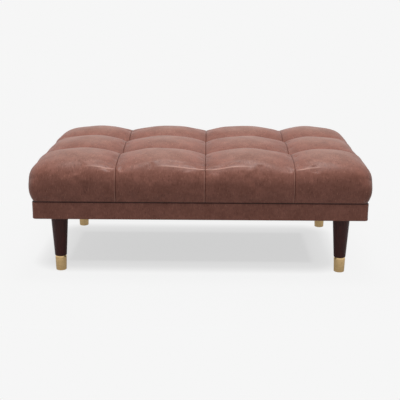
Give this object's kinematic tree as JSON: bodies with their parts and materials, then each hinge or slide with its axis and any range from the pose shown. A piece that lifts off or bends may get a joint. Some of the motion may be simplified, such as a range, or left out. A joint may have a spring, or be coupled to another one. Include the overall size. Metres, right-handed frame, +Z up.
{
  "type": "footstool",
  "caption": "Low rectangular footstool with a biscuit-tufted leather cushion on a leather-covered frame and tapered dark legs with brass ferrules.",
  "frame": {"origin": "on the floor, under the middle of the stool", "axes": "+Z up, +X along the length to the sitter's right, -Y to the front"},
  "size_m": [1.103, 0.734, 0.4066],
  "materials": {
    "leather": "semi-aniline leather, soft satin sheen",
    "walnut_stain": "dark stained and lacquered turned hardwood",
    "brass": "satin brushed brass",
    "rail_wood": "planed kiln-dried hardwood, unfinished",
    "plywood": "birch plywood, unfinished",
    "steel": "zinc-plated steel",
    "foam": "open-cell cushion foam",
    "wadding": "bonded fibre wadding",
    "dust_cloth": "black spun-bonded cloth",
    "twine": "waxed tufting twine",
    "glide_plastic": "moulded glide",
    "toggle_plastic": "moulded toggle"
  },
  "bodies": {
    "root": {"back_rail": "rail_wood", "base_cover": "leather", "base_padding": "wadding", "block_screws": "steel", "corner_block_back_left": "rail_wood", "corner_block_back_right": "rail_wood", "corner_block_front_left": "rail_wood", "corner_block_front_right": "rail_wood", "cushion_board": "plywood", "cushion_cover": "leather", "cushion_foam": "foam", "cushion_screws": "steel", "cushion_wadding": "wadding", "dust_cover": "dust_cloth", "ferrule_back_left": "brass", "ferrule_back_right": "brass", "ferrule_front_left": "brass", "ferrule_front_right": "brass", "front_rail": "rail_wood", "glide_back_left": "glide_plastic", "glide_back_right": "glide_plastic", "glide_front_left": "glide_plastic", "glide_front_right": "glide_plastic", "left_cross_rail": "rail_wood", "left_rail": "rail_wood", "leg_back_left": "walnut_stain", "leg_back_right": "walnut_stain", "leg_front_left": "walnut_stain", "leg_front_right": "walnut_stain", "leg_hanger_bolts": "steel", "leg_tee_nuts": "steel", "rail_dowels": "rail_wood", "right_cross_rail": "rail_wood", "right_rail": "rail_wood", "tufting_toggles": "toggle_plastic", "tufting_twines": "twine"}
  },
  "joints": []
}
